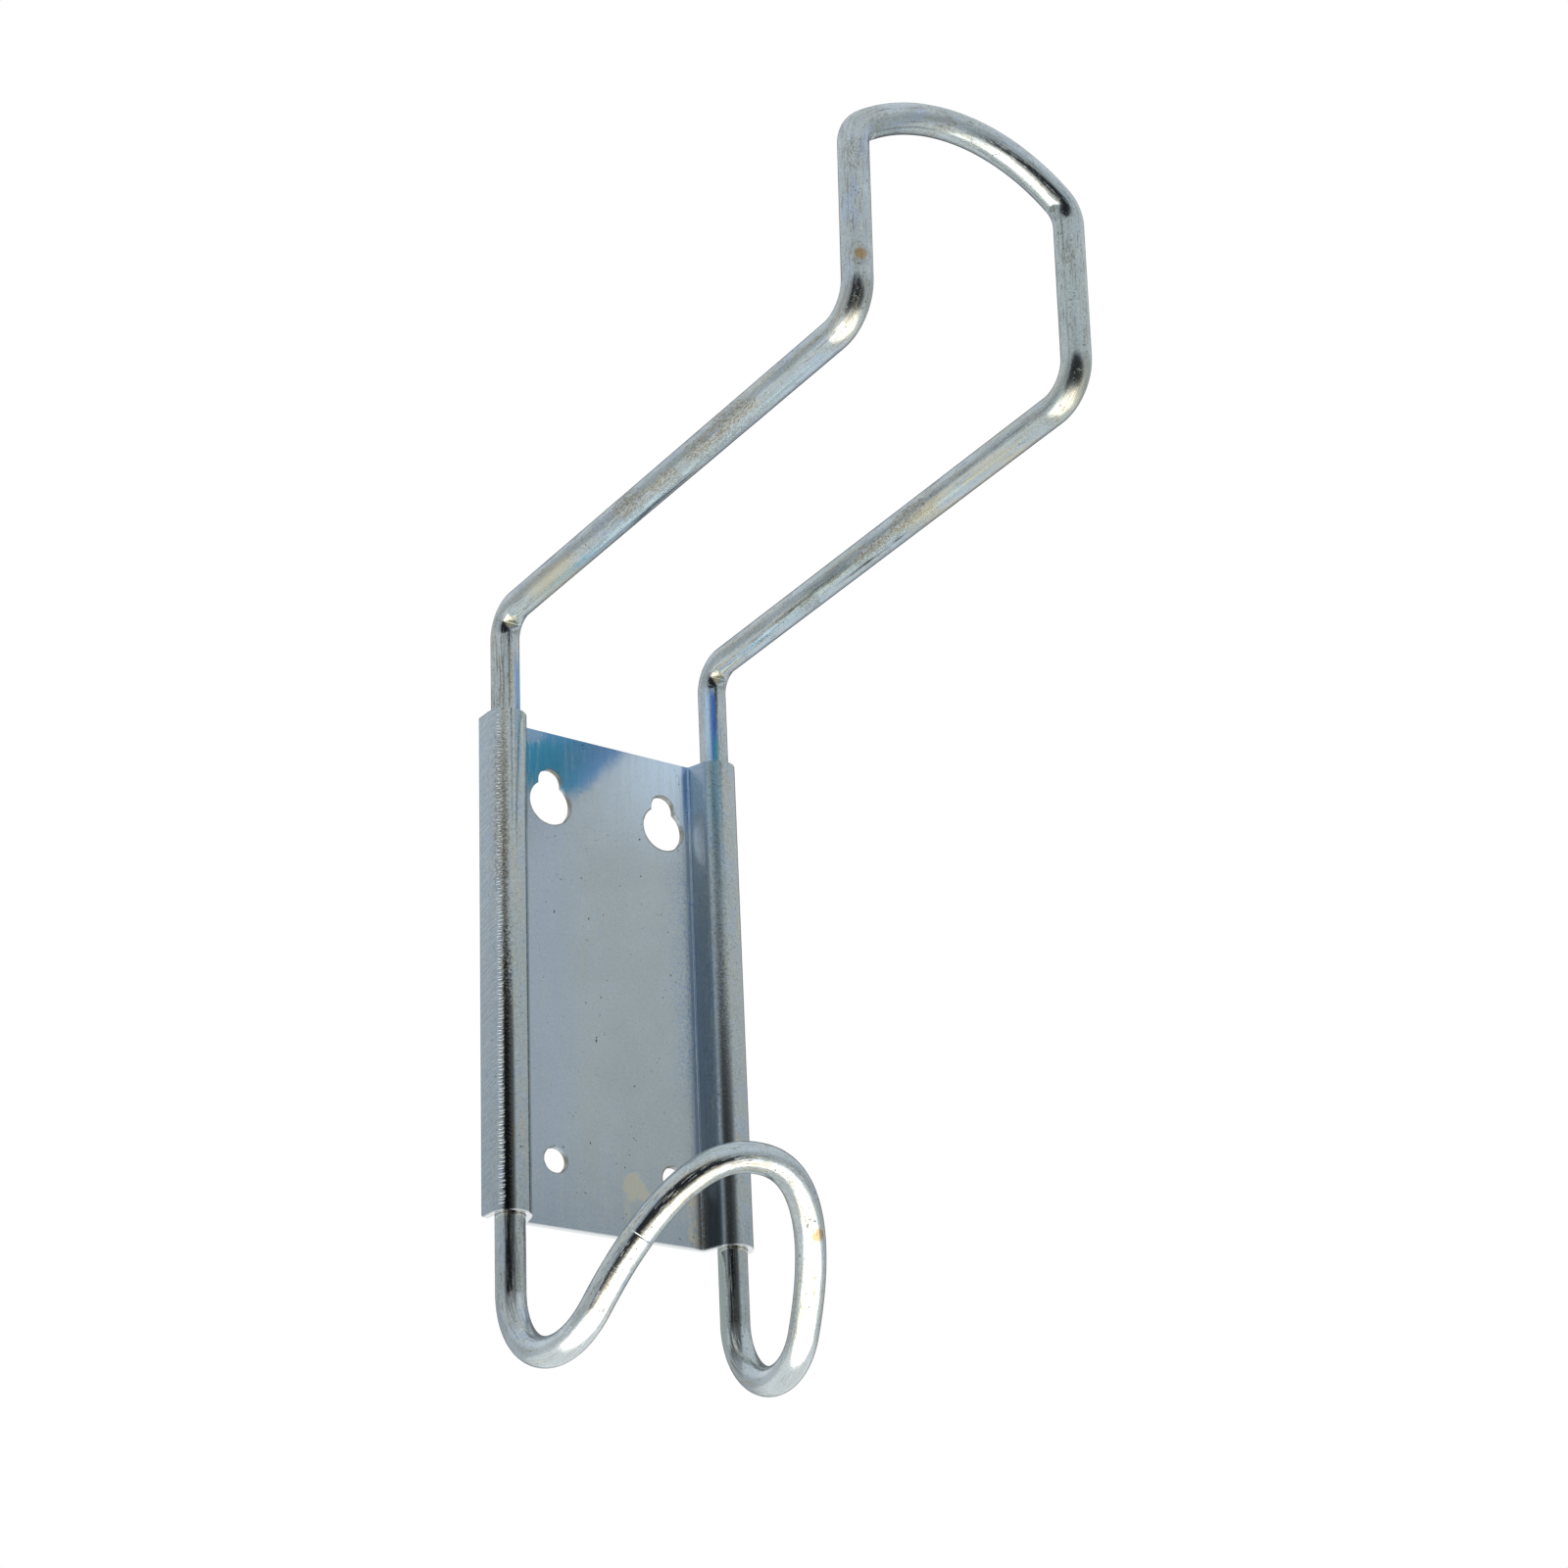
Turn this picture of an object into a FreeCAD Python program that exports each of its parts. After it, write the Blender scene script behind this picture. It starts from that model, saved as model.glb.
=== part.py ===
import FreeCAD, Part
import math
import os

from FreeCAD import Vector

# Wall-fixed storage hook for a bicycle: a closed loop of bent rod held in the hooped edges of a folded plate.
# Lengths are in millimetres and angles in degrees.
# X runs along the wall, Y runs into the wall and Z is up. The origin is the middle of the plate's back face.

# Rod
rod_diameter = 8.0
leg_spacing = 69.0             # between the axes of the two upright legs
leg_standoff = 4.8             # from the wall to the axis of a leg
arm_root_height = 102.0        # where the axes of leg and arm would meet
arm_length = 167.0             # from there to where the axes of arm and tip would meet
arm_rise_angle = 2.5           # upward slope of the arms
arm_root_bend_radius = 8.0
tip_root_bend_radius = 11.0
tip_length = 48.4              # from the meeting of arm and tip to the start of the upper corner
tip_lean_angle = 2.5           # outward lean of the tips
corner_bend_radius = 8.0
crossbar_half_angle = 36.0     # half of the angle that the arched crossbar turns through

# Small hook under the plate: a flat arch that was then wrapped round a bending roller
curl_start_height = -91.0
curl_radius = 19.5
curl_lean_angle = 37.5         # of the raised part, from the vertical
arch_start = 5.4               # along the rod, from the start of the curl
arch_length = 87.0             # along the rod, from there to the middle of the arch
arch_fullness = 2.25           # 2 is a plain ellipse, and more is squarer
arch_points = 24               # that the curve of the arch passes through

# Marks across the inside of the sharp bends, where the square edge of the bending block pressed in
arm_root_mark_depth = 1.3
arm_root_mark_angle = 40.0     # from the start of the bend to the mark
corner_mark_depth = 1.0
corner_mark_angle = 49.0

# Weld that closes the loop
weld_position = 0.645         # share of the way from the curl's start to the middle of the arch
weld_groove_width = 0.4
weld_groove_depth = 0.15

# Wall plate
sheet_thickness = 1.5
plate_length = 142.0
hoop_clearance = 0.2           # between the rod and the inside of a hoop
crease_spacing = 55.0          # between the two creases, on the front face
crease_inner_radius = 0.6
wall_corner_radius = 1.2       # lower corner of each outer wall

# Holes in the plate, a keyhole and a round hole on each side
hole_spacing = 37.0
keyhole_head_diameter = 13.0
keyhole_head_from_top = 21.0   # middle of the head, below the plate's top edge
keyhole_slot_width = 7.5
keyhole_slot_from_top = 11.0   # top of the slot, below the plate's top edge
round_hole_diameter = 7.0
round_hole_from_bottom = 18.5

rod_radius = rod_diameter / 2
leg_x = leg_spacing / 2
half_length = plate_length / 2
keyhole_head_height = half_length - keyhole_head_from_top
keyhole_slot_top = half_length - keyhole_slot_from_top
round_hole_height = round_hole_from_bottom - half_length
hoop_inner_radius = rod_radius + hoop_clearance
hoop_outer_radius = hoop_inner_radius + sheet_thickness

along_wall = Vector(1, 0, 0)
into_wall = Vector(0, 1, 0)
upward = Vector(0, 0, 1)


def cosine(angle):
    return math.cos(math.radians(angle))


def sine(angle):
    return math.sin(math.radians(angle))


def setback(bend_radius, turn):
    """Length that a bend takes from each of the two straights that it joins."""
    return bend_radius * math.tan(math.radians(turn) / 2)


def turned(vector, axis, angle):
    return FreeCAD.Rotation(axis, angle).multVec(vector)


def mirrored(shape):
    return shape.mirror(Vector(0, 0, 0), along_wall)


class BentRod:
    """Follows the axis of a round rod and keeps the solid of each straight and each bend."""

    def __init__(self, position, direction):
        self.position = position
        self.direction = direction
        self.solids = []

    def straight(self, length):
        self.solids.append(Part.makeCylinder(rod_radius, length, self.position, self.direction))
        self.position = self.position + self.direction * length

    def bend(self, bend_radius, turn, axis):
        """Turns the rod about an axis and returns the middle of the bend."""
        towards_centre = axis.cross(self.direction).normalize()
        centre = self.position + towards_centre * bend_radius
        outline = Part.Wire(Part.makeCircle(rod_radius, self.position, self.direction))
        self.solids.append(Part.Face(outline).revolve(centre, axis, turn))
        self.position = centre + turned(self.position - centre, axis, turn)
        self.direction = turned(self.direction, axis, turn)
        return centre


def block_edge(centre, bend_radius, depth, axis, towards_mark):
    """Square edge of a bending block, pressed in across the inside of a bend."""
    tip = centre + towards_mark * (bend_radius - rod_radius + depth) - axis * rod_radius
    one_side = turned(-towards_mark, axis, 45) * rod_radius
    other_side = turned(-towards_mark, axis, -45) * rod_radius
    outline = Part.makePolygon([tip, tip + one_side, tip + one_side + other_side, tip + other_side, tip])
    return Part.Face(outline).extrude(axis * rod_diameter)


def upper_half():
    """Leg, arm, tip and half of the crossbar on the side of positive X."""
    arm_turn = 90 - arm_rise_angle
    tip_turn = 90 - arm_rise_angle - tip_lean_angle
    corner_turn = 90 - crossbar_half_angle
    corner_width = corner_bend_radius * (1 - cosine(corner_turn))
    crossbar_radius = (leg_x - corner_width) / sine(crossbar_half_angle)
    leg_end = arm_root_height - setback(arm_root_bend_radius, arm_turn)
    arm_setback = setback(arm_root_bend_radius, arm_turn)
    tip_setback = setback(tip_root_bend_radius, tip_turn)

    rod = BentRod(Vector(leg_x, -leg_standoff, curl_start_height), upward)
    rod.straight(leg_end - curl_start_height)
    arm_root = rod.bend(arm_root_bend_radius, arm_turn, along_wall)
    rod.straight(arm_length - arm_setback - tip_setback)
    rod.bend(tip_root_bend_radius, tip_turn, -along_wall)
    rod.straight(tip_length - tip_setback)
    across_tip = rod.direction.cross(along_wall)
    corner = rod.bend(corner_bend_radius, corner_turn, -across_tip)
    rod.bend(crossbar_radius, crossbar_half_angle, -across_tip)

    arm_root_mark = turned(into_wall, along_wall, arm_root_mark_angle)
    corner_mark = turned(along_wall, -across_tip, corner_mark_angle)
    marks = [
        block_edge(arm_root, arm_root_bend_radius, arm_root_mark_depth, along_wall, arm_root_mark),
        block_edge(corner, corner_bend_radius, corner_mark_depth, across_tip, corner_mark),
    ]
    half = rod.solids[0].fuse(rod.solids[1:])
    return half.cut(marks)


def hook_point(sweep):
    """Point of the small hook's axis: sweep runs from 0 at the right curl to 180 at the left one."""
    width = leg_x * abs(cosine(sweep)) ** (2 / arch_fullness)
    along = arch_start + arch_length * sine(sweep) ** (2 / arch_fullness)
    side = 1 if sweep < 90 else -1
    return wrapped(side * width, along)


def wrapped(across, along):
    """Places a point of the flat arch on the curl's profile: down, round the roller and up again."""
    curl_turn = 180 - curl_lean_angle
    angle = min(math.degrees(along / curl_radius), curl_turn)
    beyond = along - math.radians(angle) * curl_radius
    outward = leg_standoff + curl_radius * (1 - cosine(angle)) + beyond * sine(curl_lean_angle)
    height = curl_start_height - curl_radius * sine(angle) + beyond * cosine(curl_lean_angle)
    return Vector(across, -outward, height)


def small_hook():
    """Both curls and the arch between them, swept along one smooth curve."""
    middle_points = [hook_point(180 * step / arch_points) for step in range(arch_points + 1)]
    points = [wrapped(leg_x, 0)] + middle_points + [wrapped(-leg_x, 0)]
    axis_curve = Part.BSplineCurve()
    axis_curve.interpolate(Points=points, InitialTangent=-upward, FinalTangent=upward, Scale=False)
    outline = Part.Wire(Part.makeCircle(rod_radius, points[0], -upward))
    hook = Part.Wire(axis_curve.toShape()).makePipeShell([outline], True, False)

    position = axis_curve.LastParameter * (1 - weld_position / 2)
    seam = axis_curve.value(position)
    direction = Vector(*axis_curve.tangent(position)[0])
    start = seam - direction * weld_groove_width / 2
    ring = Part.makeCylinder(rod_diameter, weld_groove_width, start, direction)
    core = Part.makeCylinder(rod_radius - weld_groove_depth, weld_groove_width, start, direction)
    return hook.cut(ring.cut(core))


def build_rod_frame():
    right = upper_half()
    return right.fuse([mirrored(right), small_hook()])


def sheet_edge(offset):
    """Right half of the plate's section, on the sheet's front face (0) or on its back face (1).

    The front face runs along the flat, turns forward at the crease, rises to the hoop and goes over the rod."""
    inset = offset * sheet_thickness
    hoop_radius = hoop_outer_radius - inset
    crease_radius = crease_inner_radius + inset
    hoop_centre = Vector(leg_x, -leg_standoff, 0)
    flat_y = -sheet_thickness + inset

    # The flank leaves the crease so that it touches the hoop's outer circle.
    crease = Vector(crease_spacing / 2, -sheet_thickness, 0)
    reach = hoop_centre - crease
    flank_angle = math.degrees(math.atan2(-reach.y, reach.x) + math.asin(hoop_outer_radius / reach.Length))
    crease_setback = crease_inner_radius * math.tan(math.radians(flank_angle) / 2)
    bend_centre = Vector(crease.x - crease_setback, -sheet_thickness - crease_inner_radius, 0)

    flat_end = bend_centre + Vector(0, crease_radius, 0)
    bend_middle = bend_centre + turned(Vector(0, crease_radius, 0), upward, -flank_angle / 2)
    flank_start = bend_centre + turned(Vector(0, crease_radius, 0), upward, -flank_angle)
    flank_end = hoop_centre + turned(Vector(0, -hoop_radius, 0), upward, -flank_angle)
    hoop_front = hoop_centre + Vector(0, -hoop_radius, 0)
    wall_start = hoop_centre + Vector(hoop_radius, 0, 0)
    wall_end = Vector(wall_start.x, 0, 0)
    return [
        Part.makeLine(Vector(0, flat_y, 0), flat_end),
        Part.Arc(flat_end, bend_middle, flank_start).toShape(),
        Part.makeLine(flank_start, flank_end),
        Part.Arc(flank_end, hoop_front, wall_start).toShape(),
        Part.makeLine(wall_start, wall_end),
    ]


def half_sheet():
    front = sheet_edge(0)
    back = sheet_edge(1)
    middle_end = Part.makeLine(front[0].Vertexes[0].Point, back[0].Vertexes[0].Point)
    wall_end = Part.makeLine(front[-1].Vertexes[-1].Point, back[-1].Vertexes[-1].Point)
    section = Part.Face(Part.Wire(Part.__sortEdges__(front + back + [middle_end, wall_end])))
    section.translate(Vector(0, 0, -half_length))
    return section.extrude(Vector(0, 0, plate_length))


def punch(x, height, diameter):
    start = Vector(x, -2 * sheet_thickness, height)
    return Part.makeCylinder(diameter / 2, 3 * sheet_thickness, start, into_wall)


def keyhole_punch(x):
    slot_end = keyhole_slot_top - keyhole_slot_width / 2
    slot_height = slot_end - keyhole_head_height
    slot_corner = Vector(x - keyhole_slot_width / 2, -2 * sheet_thickness, keyhole_head_height)
    slot = Part.makeBox(keyhole_slot_width, 3 * sheet_thickness, slot_height, slot_corner)
    head = punch(x, keyhole_head_height, keyhole_head_diameter)
    return head.fuse([slot, punch(x, slot_end, keyhole_slot_width)])


def build_wall_plate():
    half = half_sheet()
    corner_edges = []
    for edge in half.Edges:
        middle = edge.CenterOfMass
        across = abs(edge.BoundBox.XLength - sheet_thickness) < 0.01
        if across and abs(middle.y) < 0.01 and middle.x > leg_x and middle.z < 0:
            corner_edges.append(edge)
    half = half.makeFillet(wall_corner_radius, corner_edges)
    plate = half.fuse(mirrored(half))
    for side in (-1, 1):
        x = side * hole_spacing / 2
        plate = plate.cut([keyhole_punch(x), punch(x, round_hole_height, round_hole_diameter)])
    return plate.removeSplitter()


def save(name, shape):
    solids = shape.Solids
    if len(solids) != 1 or not solids[0].isValid():
        raise ValueError(name + " is not one sound solid")
    solids[0].exportStep("parts/" + name + ".step")
    print(name, round(solids[0].Volume), "cubic mm")


os.makedirs("parts", exist_ok=True)
save("wall_plate", build_wall_plate())
save("rod_frame", build_rod_frame())
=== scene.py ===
import math
import bmesh
import bpy
from mathutils import Matrix, Quaternion, Vector


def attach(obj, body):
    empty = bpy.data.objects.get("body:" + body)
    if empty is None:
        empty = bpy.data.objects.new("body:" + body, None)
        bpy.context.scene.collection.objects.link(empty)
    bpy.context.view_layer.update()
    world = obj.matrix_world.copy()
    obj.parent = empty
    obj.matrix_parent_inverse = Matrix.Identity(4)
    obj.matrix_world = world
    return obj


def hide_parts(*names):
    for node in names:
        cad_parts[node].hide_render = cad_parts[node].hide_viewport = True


# Wall storage hook: one closed loop of bent rod in the hooped edges of a folded plate, all bright zinc.
# Blender works in metres here, with X along the wall, Y into the wall and Z up.
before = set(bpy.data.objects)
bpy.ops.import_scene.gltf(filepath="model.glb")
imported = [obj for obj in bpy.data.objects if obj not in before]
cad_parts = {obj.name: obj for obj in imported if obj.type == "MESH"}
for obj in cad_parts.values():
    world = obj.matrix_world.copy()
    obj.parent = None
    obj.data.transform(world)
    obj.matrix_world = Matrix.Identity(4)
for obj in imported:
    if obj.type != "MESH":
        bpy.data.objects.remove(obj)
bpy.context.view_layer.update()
mm = 0.001
sideways, intoWall, upward = Vector((1, 0, 0)), Vector((0, 1, 0)), Vector((0, 0, 1))


def cosine(angle):
    return math.cos(math.radians(angle))


def sine(angle):
    return math.sin(math.radians(angle))


# A socket that takes part in sums: each sum adds its Math node.
class Value:
    def __init__(self, tree, socket):
        self.tree = tree
        self.socket = socket

    def maths(self, operation, first, second=0.0):
        return self.tree.node("ShaderNodeMath", {"operation": operation}, {0: first, 1: second})

    def __add__(self, other):
        return self.maths("ADD", self, other)

    def __radd__(self, other):
        return self.maths("ADD", other, self)

    def __sub__(self, other):
        return self.maths("SUBTRACT", self, other)

    def __rsub__(self, other):
        return self.maths("SUBTRACT", other, self)

    def __mul__(self, other):
        return self.maths("MULTIPLY", self, other)

    def __truediv__(self, other):
        return self.maths("DIVIDE", self, other)

    def __pow__(self, other):
        return self.maths("POWER", self, other)

    def size(self):
        return self.maths("ABSOLUTE", self)

    def most(self, other):
        return self.maths("MAXIMUM", self, other)

    # 0 before start and 1 after end, eased in between; start may be the larger of the two
    def fade(self, start, end):
        settings = {"interpolation_type": "SMOOTHSTEP", "clamp": True}
        return self.tree.node("ShaderNodeMapRange", settings, {0: self, 1: start, 2: end, 3: 0.0, 4: 1.0})

    # 1 between low and high, with soft ends
    def between(self, low, high, softness):
        return self.fade(low - softness, low + softness) * self.fade(high + softness, high - softness)


# A node tree being built, for a material, the world or Geometry Nodes.
class Tree:
    def __init__(self, nodeTree):
        self.nodes = nodeTree.nodes
        self.links = nodeTree.links
        self.nodes.clear()

    def node(self, kind, settings=None, sockets=None, output=0):
        made = self.nodes.new(kind)
        for name, value in (settings or {}).items():
            setattr(made, name, value)
        for key, value in (sockets or {}).items():
            if isinstance(value, Value):
                self.links.new(value.socket, made.inputs[key])
            else:
                made.inputs[key].default_value = value
        return Value(self, made.outputs[output]) if made.outputs else None

    def split(self, vector):
        separate = self.node("ShaderNodeSeparateXYZ", None, {0: vector})
        return [Value(self, output) for output in separate.socket.node.outputs]

    def join(self, x, y, z):
        return self.node("ShaderNodeCombineXYZ", None, {0: x, 1: y, 2: z})

    def noise(self, vector, scale, detail, roughness):
        sockets = {"Vector": vector, "Scale": scale, "Detail": detail, "Roughness": roughness}
        return self.node("ShaderNodeTexNoise", None, sockets)

    # colour blend: 0 keeps the first and 1 gives the second
    def tint(self, share, first, second):
        settings = {"data_type": "RGBA"}
        return self.node("ShaderNodeMix", settings, {0: share, 6: first, 7: second}, output=2)

    def bump(self, height, distance):
        sockets = {"Height": height, "Strength": 1.0, "Distance": distance}
        return self.node("ShaderNodeBump", None, sockets)


# Camera

camera = {
    "place": (-0.45521, -0.70711, -0.3213),
    "turn": 36.2,          # degrees from the wall's normal, to the left
    "tip": 24.3,           # looking up
    "roll": -2.69,
    "lens": 75.81,
    "sensor": 36.0,
    "nearest": 0.01,
    "farthest": 20.0,
}


def addCamera():
    data = bpy.data.cameras.new("camera")
    data.sensor_width = camera["sensor"]
    data.lens = camera["lens"]
    data.clip_start = camera["nearest"]
    data.clip_end = camera["farthest"]
    holder = bpy.data.objects.new("camera", data)
    bpy.context.scene.collection.objects.link(holder)
    turn, tip = math.radians(camera["turn"]), math.radians(camera["tip"])
    ahead = Vector((math.sin(turn) * math.cos(tip), math.cos(turn) * math.cos(tip), math.sin(tip)))
    level = Vector((math.cos(turn), -math.sin(turn), 0))
    roll = Quaternion(ahead, math.radians(-camera["roll"]))
    right = roll @ level
    above = right.cross(ahead)
    turned = Matrix((right, above, -ahead)).transposed()
    holder.matrix_world = Matrix.Translation(camera["place"]) @ turned.to_4x4()
    bpy.context.scene.camera = holder


addCamera()
print("camera placed")


# Studio: a pale tent, open towards the dark room in front, over white paper and a soft lamp

white = (1.0, 1.0, 1.0, 1.0)
studio = {
    "topColour": (0.80, 0.84, 0.89, 1.0),
    "sideColour": (0.58, 0.61, 0.64, 1.0),
    "lowColour": (0.78, 0.83, 0.87, 1.0),
    "topLow": 15.0,            # these heights are degrees above the level of the object
    "topHigh": 32.0,
    "lowStart": 0.0,
    "lowEnd": -80.0,
    # dark shapes: turn to the right of straight in front, rise, tilt, half width and half height, in degrees
    "room": (-27.0, -21.0, -27.0, 52.5, 38.5),
    "behind": (143.8, 24.3, 0.0, 28.0, 28.0),
    "roomColour": (0.020, 0.024, 0.032, 1.0),
    "behindShare": 0.75,
    "softness": 0.15,
    "leastAhead": 0.05,        # keeps a dark shape from showing on the opposite side as well
    "squareness": 3.2,         # of the dark shapes: 2 is a plain oval
    "floorHeight": -1.0,
    "floorSize": 2.6,
    "floorColour": (0.86, 0.87, 0.88, 1.0),
    "floorRoughness": 0.9,
    "floorFade": (0.39, 1.235),      # distances over which it fades into the white surroundings
}

# both face upwards; a glow of 1 is as bright as white paper
paper = {"place": (0.0, 0.13, -0.30), "turn": -20.0, "size": (2.4, 1.37), "glow": 0.25,
         "colour": (1.0, 0.93, 0.80)}
softLamp = {"place": (-0.085, -0.18, -0.295), "turn": -25.0, "size": (0.90, 0.36), "glow": 2.0,
            "colour": (1.0, 0.93, 0.80)}
warmEdge = {"place": (-0.178, -0.379, -0.295), "turn": -25.0, "size": (0.90, 0.08), "glow": 0.75,
            "colour": (1.0, 0.66, 0.33)}       # the lamp's dim, warm front rim


def addWorld():
    world = bpy.data.worlds.new("tent")
    bpy.context.scene.world = world
    world.use_nodes = True
    tree = Tree(world.node_tree)
    way = tree.node("ShaderNodeTexCoord")

    def share(direction):
        settings = {"operation": "DOT_PRODUCT"}
        sockets = {0: way, 1: tuple(direction)}
        return tree.node("ShaderNodeVectorMath", settings, sockets, output="Value")

    # 1 inside an oval patch of the surroundings and 0 outside, with a soft rim
    def oval(turn, rise, tilt, halfWidth, halfHeight):
        middle = Vector((sine(turn) * cosine(rise), -cosine(turn) * cosine(rise), sine(rise)))
        across = Quaternion(middle, math.radians(tilt)) @ middle.cross(upward).normalized()
        ahead = share(middle).most(studio["leastAhead"])
        wide = (share(across) / ahead / math.tan(math.radians(halfWidth))).size()
        high = (share(across.cross(middle)) / ahead / math.tan(math.radians(halfHeight))).size()
        power = studio["squareness"]
        reach = (wide ** power + high ** power) ** (1 / power)
        return reach.fade(1.0 + studio["softness"], 1.0 - studio["softness"])

    level = share(upward)
    low = level.fade(sine(studio["lowStart"]), sine(studio["lowEnd"]))
    top = level.fade(sine(studio["topLow"]), sine(studio["topHigh"]))
    tint = tree.tint(top, studio["sideColour"], studio["topColour"])
    tint = tree.tint(low, tint, studio["lowColour"])
    dark = oval(*studio["room"]).most(oval(*studio["behind"]) * studio["behindShare"])
    tint = tree.tint(dark, tint, studio["roomColour"])
    surroundings = tree.node("ShaderNodeBackground", None, {"Color": tint, "Strength": 1.0})
    plain = tree.node("ShaderNodeBackground", None, {"Color": white, "Strength": 1.0})
    seen = tree.node("ShaderNodeLightPath", None, None, "Is Camera Ray")
    shown = tree.node("ShaderNodeMixShader", None, {0: seen, 1: surroundings, 2: plain})
    tree.node("ShaderNodeOutputWorld", None, {"Surface": shown})


def addFloor():
    half = studio["floorSize"] / 2
    z = studio["floorHeight"]
    corners = [(-half, -half, z), (half, -half, z), (half, half, z), (-half, half, z)]
    mesh = bpy.data.meshes.new("floor")
    mesh.from_pydata(corners, [], [(0, 1, 2, 3)])
    floor = bpy.data.objects.new("floor", mesh)
    bpy.context.scene.collection.objects.link(floor)
    finish = bpy.data.materials.new("paleFloor")
    finish.use_nodes = True
    tree = Tree(finish.node_tree)
    paint = tree.node("ShaderNodeBsdfPrincipled", None, {"Base Color": studio["floorColour"],
                                                         "Roughness": studio["floorRoughness"]})
    plain = tree.node("ShaderNodeEmission", None, {"Color": white, "Strength": 1.0})
    x, y, _ = tree.split(tree.node("ShaderNodeTexCoord", None, None, "Object"))
    rim = ((x * x + y * y) ** 0.5).fade(*studio["floorFade"])
    seen = tree.node("ShaderNodeLightPath", None, None, "Is Camera Ray")
    shown = tree.node("ShaderNodeMixShader", None, {0: seen * rim, 1: paint, 2: plain})
    tree.node("ShaderNodeOutputMaterial", None, {"Surface": shown})
    mesh.materials.append(finish)


def addLamp(name, lamp):
    data = bpy.data.lights.new(name, "AREA")
    data.shape = "RECTANGLE"
    data.size, data.size_y = lamp["size"]
    data.energy = lamp["glow"] * math.pi * data.size * data.size_y
    data.color = lamp["colour"]
    holder = bpy.data.objects.new(name, data)
    bpy.context.scene.collection.objects.link(holder)
    holder.location = lamp["place"]
    holder.rotation_euler = (math.pi, 0, math.radians(lamp["turn"]))
    holder.visible_camera = False


addWorld()
addFloor()
addLamp("paper", paper)
addLamp("softLamp", softLamp)
addLamp("warmEdge", warmEdge)
bpy.context.scene.view_settings.view_transform = "Standard"
print("studio ready")


# Rod: its axis is followed bend by bend, and Geometry Nodes sweep the round section along it

rod = {
    "diameter": 8.0,
    "legSpacing": 69.0,
    "legStandoff": 4.8,
    "seamHeight": -20.0,       # where the sweep starts and ends, hidden inside the right hoop
    "armRootHeight": 102.0,
    "armLength": 167.0,
    "armRise": 2.5,
    "armRootBend": 8.0,
    "tipRootBend": 11.0,
    "tipLength": 48.4,
    "tipLean": 2.5,
    "cornerBend": 8.0,
    "crossbarHalfAngle": 36.0,
    "curlHeight": -91.0,
    "curlRadius": 19.5,
    "curlLean": 37.5,
    "archStart": 5.4,
    "archLength": 87.0,
    "archFullness": 2.25,
    "weldSweep": 136.2,        # where round the arch the rod's two ends were welded
    "weldWidth": 0.4,
    "weldDepth": 0.10,
    "sides": 48,
    "straightStep": 3.0,
    "bendStep": 0.3,
    "crossbarStep": 0.8,
    "hookStep": 0.5,
    "weldStep": 0.08,
    "weldReach": 1.0,          # how far from the weld the steps are that small
    "curlSteps": 20,
    "archSteps": 4000,
}
legX = rod["legSpacing"] / 2


def setback(bendRadius, turn):
    return bendRadius * math.tan(math.radians(turn) / 2)


# follows the axis of the rod and keeps a point at each step
class RodPath:
    def __init__(self, place, direction):
        self.place = Vector(place)
        self.direction = Vector(direction)
        self.points = [self.place.copy()]

    def straight(self, length):
        count = max(1, round(length / rod["straightStep"]))
        for _ in range(count):
            self.place = self.place + self.direction * (length / count)
            self.points.append(self.place.copy())

    def bend(self, radius, turn, axis, step):
        centre = self.place + axis.cross(self.direction).normalized() * radius
        count = max(2, round(math.radians(turn) * radius / step))
        part = Quaternion(axis, math.radians(turn / count))
        for _ in range(count):
            self.place = centre + part @ (self.place - centre)
            self.direction = part @ self.direction
            self.points.append(self.place.copy())
        return centre


def upperHalf():
    armTurn = 90 - rod["armRise"]
    tipTurn = 90 - rod["armRise"] - rod["tipLean"]
    cornerTurn = 90 - rod["crossbarHalfAngle"]
    cornerWidth = rod["cornerBend"] * (1 - cosine(cornerTurn))
    crossbarRadius = (legX - cornerWidth) / sine(rod["crossbarHalfAngle"])
    armSetback = setback(rod["armRootBend"], armTurn)
    tipSetback = setback(rod["tipRootBend"], tipTurn)
    path = RodPath((legX, -rod["legStandoff"], rod["curlHeight"]), upward)
    path.straight(rod["armRootHeight"] - armSetback - rod["curlHeight"])
    armCentre = path.bend(rod["armRootBend"], armTurn, sideways, rod["bendStep"])
    path.straight(rod["armLength"] - armSetback - tipSetback)
    path.bend(rod["tipRootBend"], tipTurn, -sideways, rod["bendStep"])
    path.straight(rod["tipLength"] - tipSetback)
    acrossTip = path.direction.cross(sideways)
    cornerCentre = path.bend(rod["cornerBend"], cornerTurn, -acrossTip, rod["bendStep"])
    path.bend(crossbarRadius, rod["crossbarHalfAngle"], -acrossTip, rod["crossbarStep"])
    marks = {"armCentre": armCentre, "armTurn": armTurn, "cornerCentre": cornerCentre,
             "cornerTurn": cornerTurn, "acrossTip": acrossTip}
    return path.points, marks


# places a point of the flat arch on the curl's profile: down, round and up again
def wrapped(across, along):
    curlTurn = 180 - rod["curlLean"]
    angle = min(math.degrees(along / rod["curlRadius"]), curlTurn)
    beyond = along - math.radians(angle) * rod["curlRadius"]
    outward = rod["legStandoff"] + rod["curlRadius"] * (1 - cosine(angle)) + beyond * sine(rod["curlLean"])
    height = rod["curlHeight"] - rod["curlRadius"] * sine(angle) + beyond * cosine(rod["curlLean"])
    return Vector((across, -outward, height))


def hookPoint(sweep):
    width = legX * abs(cosine(sweep)) ** (2 / rod["archFullness"])
    along = rod["archStart"] + rod["archLength"] * sine(sweep) ** (2 / rod["archFullness"])
    return wrapped(width if sweep < 90 else -width, along)


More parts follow.
